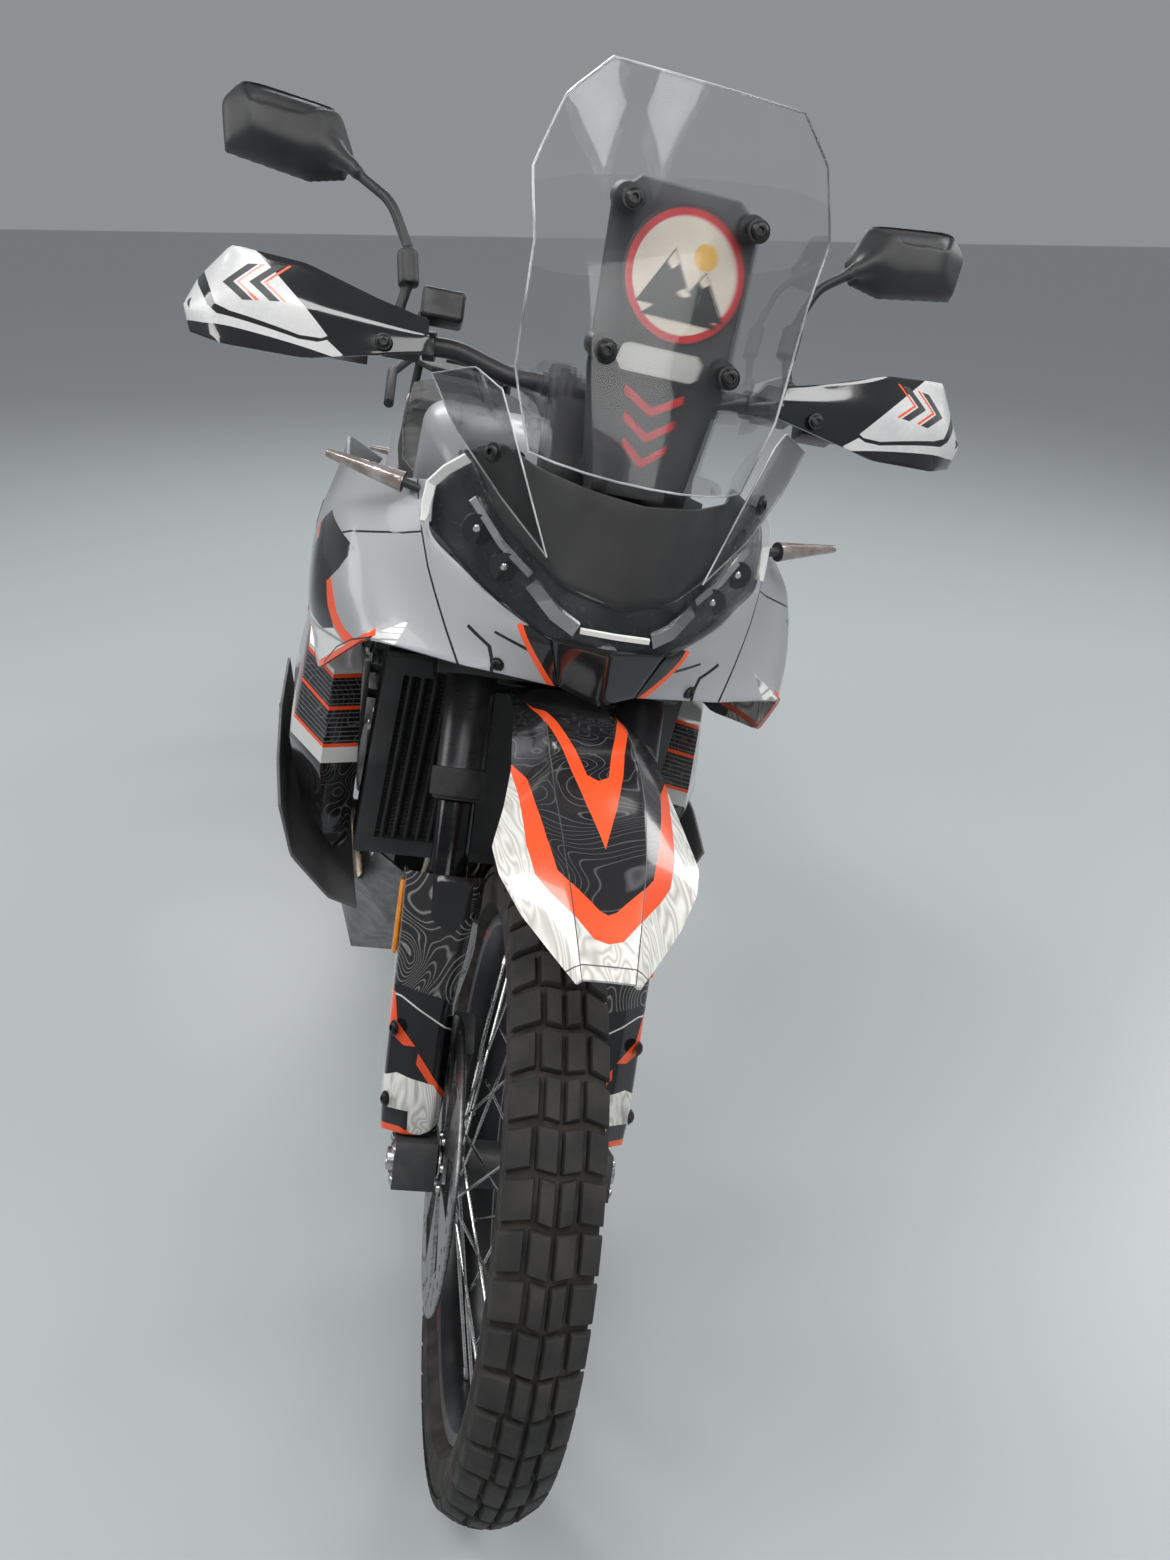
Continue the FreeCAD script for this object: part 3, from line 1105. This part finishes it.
def rack_shape():
    """A luggage plate with grab rails on both sides, carried on four feet, with a bolt circle in its middle."""
    body = doc.addObject("PartDesign::Body", "rack_body")
    doc.recompute()
    outline = outline_sketch(body, "rack_outline", "XY_Plane", [
        ("-70", "-95"), ("70", "-95"), ("96", "-40"), ("96", "70"), ("62", "110"), ("-62", "110"), ("-96", "70"),
        ("-96", "-40")])
    pad = body.newObject("PartDesign::Pad", "rack_pad")
    pad.Profile = outline
    pad.Length = 10
    doc.recompute()
    window = outline_sketch(body, "rack_window", "XY_Plane", [("-36", "-14"), ("36", "-14"), ("30", "26"), ("-30", "26")])
    pocket = body.newObject("PartDesign::Pocket", "rack_pocket")
    pocket.Profile = window
    pocket.Type = "ThroughAll"
    pocket.Reversed = True
    doc.recompute()
    bolt = body.newObject("Sketcher::SketchObject", "rack_bolt")
    bolt.AttachmentSupport = [(origin_plane(body, "XY_Plane"), "")]
    bolt.MapMode = "FlatFace"
    circle = bolt.addGeometry(Part.Circle(Vector(dim.rack_pcd / 2, 0, 0), Vector(0, 0, 1), dim.rack_hole), False)
    bolt.addConstraint(Sketcher.Constraint("PointOnObject", circle, 3, -1))
    place = bolt.addConstraint(Sketcher.Constraint("DistanceX", -1, 1, circle, 3, dim.rack_pcd / 2))
    bolt.setExpression("Constraints[%d]" % place, expression("rack_pcd/2"))
    bore = bolt.addConstraint(Sketcher.Constraint("Radius", circle, dim.rack_hole))
    bolt.setExpression("Constraints[%d]" % bore, expression("rack_hole"))
    hole = body.newObject("PartDesign::Pocket", "rack_bolt_hole")
    hole.Profile = bolt
    hole.Type = "ThroughAll"
    hole.Reversed = True
    doc.recompute()
    holes = body.newObject("PartDesign::PolarPattern", "rack_bolt_circle")
    holes.Originals = [hole]
    holes.Axis = (outline, ["N_Axis"])
    holes.Angle = 360
    holes.Occurrences = 4
    body.Tip = holes
    doc.recompute()
    return body


rack_body = rack_shape()
RACK = Placement(Vector(0, 780, 940), Rotation())
rack_body.Placement = RACK


def rack_rail():
    """A grab rail down one side of the seat, with a foot on the subframe."""
    rail = tube([(152, 540, 894), (144, 660, 930), (108, 750, 945), (88, 800, 945)], 9, 50)
    return rail.fuse(rack_foot).cut([seat_solid, subframe_solid])


rails = [feature("rack_rail_left", rack_rail()), feature("rack_rail_right", mirrored(rack_rail()))]
rack = joined("rack_assembly", [rack_body] + rails)
doc.recompute()
node(rack, "rear_rack", BIKE)
tail_lamp = box("tail_lamp_body", (-58, 800, 842), (58, 830, 884))
node(tail_lamp, "tail_lamp", BIKE)
TAIL_SHIFT = rear_axle.y - 765
PLATE_CARRIER = [(676, 834), (690, 842), (838, 842), (920 + TAIL_SHIFT, 752), (1040 + TAIL_SHIFT, 590),
                 (1030 + TAIL_SHIFT, 582), (905 + TAIL_SHIFT, 735), (800, 790), (740, 806)]


def rear_mudguard_shape():
    carrier = prism([(-45, y, z) for y, z in PLATE_CARRIER], (90, 0, 0))
    flange = Part.makeBox(176, 92, 6, Vector(-88, 660, 838))
    holder = Part.makeBox(180, 4, 130, Vector(-90, 0, -60))
    holder.Placement = Placement(Vector(0, 1002 + TAIL_SHIFT, 640), Rotation(Vector(1, 0, 0), 36.5))
    lamp = Part.makeBox(70, 26, 14, Vector(-35, 944 + TAIL_SHIFT, 700))
    return carrier.fuse([holder, lamp, flange]).cut(subframe_solid)


node(feature("plate_carrier", rear_mudguard_shape()), "rear_mudguard", BIKE)


def indicator(base, tip, radius):
    """A slim indicator: a short stem and a tapered lens."""
    base, tip = Vector(*base), Vector(*tip)
    along = (tip - base).normalize()
    stem = rod(base, base + along * 26, 0.45 * radius)
    lens = Part.makeCone(radius, 0.4 * radius, (tip - base).Length - 24, base + along * 24, along)
    return stem.fuse(lens)


indicators = [indicator((190, -494, 1014), (292, -458, 1025), 11).cut(fairing_solid),
              indicator((46, 938 + TAIL_SHIFT, 714), (140, 950 + TAIL_SHIFT, 716), 11)]
node(feature("indicator_set", Part.makeCompound(indicators + [mirrored(i) for i in indicators])), "indicators", BIKE)


def footrests():
    """Footpegs on their hangers, with the gear lever at the left and the brake pedal at the right."""
    hanger = [(104, 356), (152, 366), (158, 430), (204, 470), (210, 532), (188, 536), (150, 500), (122, 430)]
    sides = []
    for side in MIRROR:
        plate = prism([(side * 142, y, z) for y, z in hanger], (side * 8, 0, 0))
        bosses = [rod((side * (82 + dim.seat_gap), y, z), (side * 142, y, z), 8) for y, z in ((190, 478), (196, 522))]
        peg = Part.makeBox(86, 34, 12, Vector(150 if side > 0 else -236, 104, 374))
        teeth = [Part.makeBox(14, 18, 30, Vector(side * x - 7, 112, 366)) for x in (172, 194, 216)]
        pivot = rod((side * 146, 120, 380), (side * 170, 120, 380), 9)
        lever = tube([(side * 156, 108, 380), (side * 160, 40, 372), (side * 162, -44, 388)], 6, 40)
        tread = rod((side * 150, -44, 388), (side * 196, -44, 388), 8)
        sides.append(plate.fuse(bosses + [peg, pivot, lever, tread]).cut(teeth))
    return Part.makeCompound(sides)


node(feature("footrest_set", footrests()), "footrests", BIKE)
rear_caliper_body = caliper(-dim.rear_disc_place, dim.rear_disc, (rear_axle.y, rear_axle.z),
                            (0, rear_axle.y - 76, rear_axle.z + 84), -44)
bracket = prism([(-108, rear_axle.y + y, rear_axle.z + z) for y, z in ((-24, 26), (24, 26), (-40, 112), (-96, 60))],
                (8, 0, 0))
node(feature("rear_caliper_body", rear_caliper_body.fuse(bracket).cut(swingarm_solid)), "rear_caliper", BIKE)

# Front mudguard, high under the lower clamp: y, ridge z, crease half width, edge half width, edge z
MUDGUARD = [
    (-1022, 796, 20, 26, 791), (-993, 812, 25, 45, 798), (-955, 832, 31, 68, 806), (-917, 847, 35, 86, 818),
    (-886, 857, 37, 92, 826), (-840, 867, 40, 82, 840), (-784, 874, 42, 74, 850), (-711, 876, 40, 70, 856),
    (-650, 859, 34, 62, 842), (-590, 846, 28, 60, 832), (-532, 833.9, 28, 58, 822), (-467, 802, 28, 56, 792)]


def mudguard_shape():
    rows = []
    for y, ridge, crease, edge, low in MUDGUARD:
        rows.append([(-edge, y, low), (-crease, y, ridge), (crease, y, ridge), (edge, y, low)])
    return grid_panel(rows, -dim.panel_wall + 0.5)


node(feature("mudguard_skin", mudguard_shape()), "front_mudguard", STEERED)

# Handlebar on its risers, in the fork's frame
BAR_HEIGHT, BAR_Y = dim.clamp_high + dim.clamp_thickness + 112, -12
BAR = [(0, BAR_Y, BAR_HEIGHT), (96, BAR_Y, BAR_HEIGHT), (160, 0, BAR_HEIGHT + 24), (446, 44, BAR_HEIGHT + 24)]
GRIP_START, GRIP_END = 306, 434


def bar_point(x):
    """The bar's middle at a place along its outer run."""
    share = (x - BAR[2][0]) / (BAR[3][0] - BAR[2][0])
    return Vector(*BAR[2]) + (Vector(*BAR[3]) - Vector(*BAR[2])) * share


def bar_solid(radius):
    half = tube(BAR, radius, 90)
    return half.fuse(mirrored(half))


bar_shape = bar_solid(dim.bar_tube).fuse(rod((-60, BAR_Y, BAR_HEIGHT), (60, BAR_Y, BAR_HEIGHT), dim.bar_clamp))
node(feature("handlebar_tube", bar_shape), "handlebar", STEERING)


def riser_shape():
    """Two bar clamps on posts that stand on the upper clamp."""
    parts = []
    base = dim.clamp_high + dim.clamp_thickness + dim.seat_gap
    for side in MIRROR:
        post = loft([rounded_box_wire((side * 38, BAR_Y, base), (1, 0, 0), (0, 1, 0), 15, 17, 6),
                     rounded_box_wire((side * 38, BAR_Y, BAR_HEIGHT - 4), (1, 0, 0), (0, 1, 0), 15, 20, 6),
                     rounded_box_wire((side * 38, BAR_Y, BAR_HEIGHT + 20), (1, 0, 0), (0, 1, 0), 15, 18, 6)], True)
        parts.append(post)
    return Part.makeCompound([part.cut(rod((-70, BAR_Y, BAR_HEIGHT), (70, BAR_Y, BAR_HEIGHT), dim.bar_clamp + 0.05))
                              for part in parts])


node(feature("clamps_and_risers", Part.makeCompound([clamps, riser_shape()])), "triple_clamps", STEERING)


def grip_shape():
    start, end = bar_point(GRIP_START), bar_point(GRIP_END)
    along = (end - start).normalize()
    grip = rod(start, end, dim.grip_radius)
    for a in (0, 118):
        grip = grip.fuse(rod(start + along * a, start + along * (a + 6), dim.grip_radius + 4))
    return grip.cut(rod(start - along * 5, end + along * 5, dim.bar_tube + 0.05))


node(feature("grip_pair", both_sides(grip_shape())), "grips", STEERING)


def hand_controls():
    """Switch blocks, lever perches with their levers, and the fluid tank on the right."""
    bore = rod(bar_point(160), bar_point(430), dim.bar_tube + 0.05)
    sides = []
    for side in MIRROR:
        switch = Part.makeBox(44, 40, 46, bar_point(280) + Vector(-22, -22, -24))
        perch = Part.makeBox(43, 58, 30, bar_point(226) + Vector(-26, -44, -15))
        lever = prism([(214, -24, BAR_HEIGHT + 12), (240, -34, BAR_HEIGHT + 12), (330, -22, BAR_HEIGHT + 12),
                       (418, -4, BAR_HEIGHT + 12), (420, -14, BAR_HEIGHT + 12), (330, -35, BAR_HEIGHT + 12),
                       (236, -50, BAR_HEIGHT + 12)], (0, 0, 11))
        shape = perch.fuse([switch, lever])
        if side < 0:
            tank = Part.makeBox(48, 36, 34, bar_point(226) + Vector(-68, -48, 19))
            neck = Part.makeBox(10, 20, 12, bar_point(226) + Vector(-28, -42, 12))
            shape = shape.fuse([tank.makeFillet(5, tank.Edges), neck])
        shape = shape.cut(bore)
        sides.append(shape if side > 0 else mirrored(shape))
    return Part.makeCompound(sides)


node(feature("hand_control_set", hand_controls()), "hand_controls", STEERING)

# Handguards, in the fork's frame: rows from the bar's end inward, each top, middle and low
HANDGUARD = [
    [(448, 2, 1296), (460, -2, 1262), (450, 0, 1234)], [(412, -40, 1322), (424, -50, 1262), (408, -46, 1214)],
    [(330, -72, 1306), (334, -88, 1255), (322, -80, 1204)], [(250, -92, 1276), (250, -100, 1248), (250, -94, 1216)],
    [(196, -98, 1262), (194, -104, 1244), (196, -100, 1226)]]


def handguard():
    """A moulded shield on an inner arm and on a bracket at the bar's end."""
    shield = grid_panel(HANDGUARD, -dim.panel_wall)
    bar_end = bar_point(446)
    cap = rod(bar_end + Vector(dim.seat_gap, 0, 0), bar_end + Vector(12, 2, 0), 16)
    strut = rod(bar_end + Vector(6, 0, 0), (448, -14, 1262), 7)
    ring = rod(bar_point(184), bar_point(197), dim.bar_tube + 6)
    arm = rod(bar_point(190) + Vector(0, -10, -8), (198, -98, 1240), 7)
    return shield.fuse([cap, strut, ring, arm]).cut(rod(bar_point(175), bar_point(446), dim.bar_tube + 0.05))


node(feature("handguard_pair", both_sides(handguard())), "handguards", STEERING)

# Mirrors: an angular shell on a stem with a joint at its foot
MIRROR_MIDDLE = Vector(374, 28, 1490)
MIRROR_OUTLINE = [(-74, -14), (-52, 34), (60, 46), (80, 18), (70, -36), (-26, -50), (-66, -40)]


def mirror_shape():
    """The shell with a raised ridge on its front, the stem and the boot over its joint."""
    foot = bar_point(232) + Vector(0, -24, 15)
    wires = []
    for back, share in ((18, 1.0), (2, 1.0), (-24, 0.55)):
        wires.append(polygon([MIRROR_MIDDLE + Vector(x * share, back, z * share) for x, z in MIRROR_OUTLINE]))
    shell = loft(wires, ruled=True)
    stem = tube([foot, foot + Vector(-14, -6, 62), foot + Vector(20, 0, 130), MIRROR_MIDDLE + Vector(-52, -4, -22)], 6, 60)
    boot = rod(foot + Vector(-10, -4, 40), foot + Vector(-4, -2, 78), 12)
    nut = rod(foot + Vector(0, 0, dim.seat_gap), foot + Vector(-1, -1, 12), 10)
    perch_room = Part.makeBox(60, 60, 20, foot + Vector(-30, -30, -20 + dim.seat_gap))
    return shell.fuse([stem, boot, nut]).cut(perch_room)


node(feature("mirror_pair", both_sides(mirror_shape())), "mirrors", STEERING)

# Side stand: an eye on its pivot, a leg ahead of it and a foot flat on the floor
to_bike = BIKE.inverse()
stand_pivot = Vector(dim.stand_x + 16, dim.stand_y, dim.stand_z)
foot_on_floor = Vector(dim.foot_x, dim.foot_y, 0)
stand_down = (to_bike.multVec(foot_on_floor) - stand_pivot).normalize()
stand_up = Vector(0.25, 0.96, 0.06).normalize()
stand_axis = stand_down.cross(stand_up).normalize()
stand_fold = math.degrees(stand_down.getAngle(stand_up))


def stand_shape():
    eye = rod(stand_pivot - stand_axis * 8, stand_pivot + stand_axis * 8, 18)
    ankle = to_bike.multVec(foot_on_floor + Vector(0, 0, 9))
    leg = rod(stand_pivot + stand_down * 16, ankle, dim.stand_tube)
    pad = prism([(-34, -18, 0), (30, -22, 0), (36, 18, 0), (-26, 24, 0)], (0, 0, 8))
    pad.Placement = to_bike.multiply(Placement(foot_on_floor, Rotation()))
    floor = Part.makeBox(400, 400, 100, foot_on_floor - Vector(200, 200, 100))
    floor.Placement = to_bike
    stand = eye.fuse([leg, pad])
    return stand.cut([rod(stand_pivot - stand_axis * 30, stand_pivot + stand_axis * 30, 8.3), floor])


node(feature("side_stand_leg", stand_shape()), "side_stand", BIKE)


def stand_bracket():
    """A plate on the crankcase's side with the stand's pivot pin and its head."""
    face = 100 + dim.seat_gap
    plate = prism([(face, y, z) for y, z in ((30, 262), (96, 262), (104, 340), (26, 340))], (12, 0, 0))
    pin = rod(stand_pivot - stand_axis * 40, stand_pivot + stand_axis * 9, 8)
    head = rod(stand_pivot + stand_axis * 8.5, stand_pivot + stand_axis * 14, 13)
    collar = rod(stand_pivot - stand_axis * 30, stand_pivot - stand_axis * 8.5, 14)
    bracket = plate.fuse([pin, head, collar])
    return bracket.cut(Part.makeBox(60, 200, 200, Vector(face - 60, 0, 200)))


node(feature("stand_bracket_plate", stand_bracket()), "stand_bracket", BIKE)


# The origin goes under the middle of the parked bike
doc.recompute()
whole = FreeCAD.BoundBox()
for obj in NODES:
    whole.add(obj.Shape.BoundBox)
shift = Placement(Vector(-whole.Center.x, -whole.Center.y, 0), Rotation())
for obj in NODES:
    obj.Placement = shift.multiply(obj.Placement)
doc.recompute()

for obj in doc.Objects:
    if "Invalid" in obj.State or "Error" in obj.State:
        raise RuntimeError("%s did not recompute" % obj.Name)
for obj in NODES:
    if obj.Shape.isNull() or not obj.Shape.isValid():
        raise RuntimeError("%s has no valid shape" % obj.Label)
    obj.Shape.exportStep("parts/%s.step" % obj.Label)
print("%d sub-parts" % len(NODES))
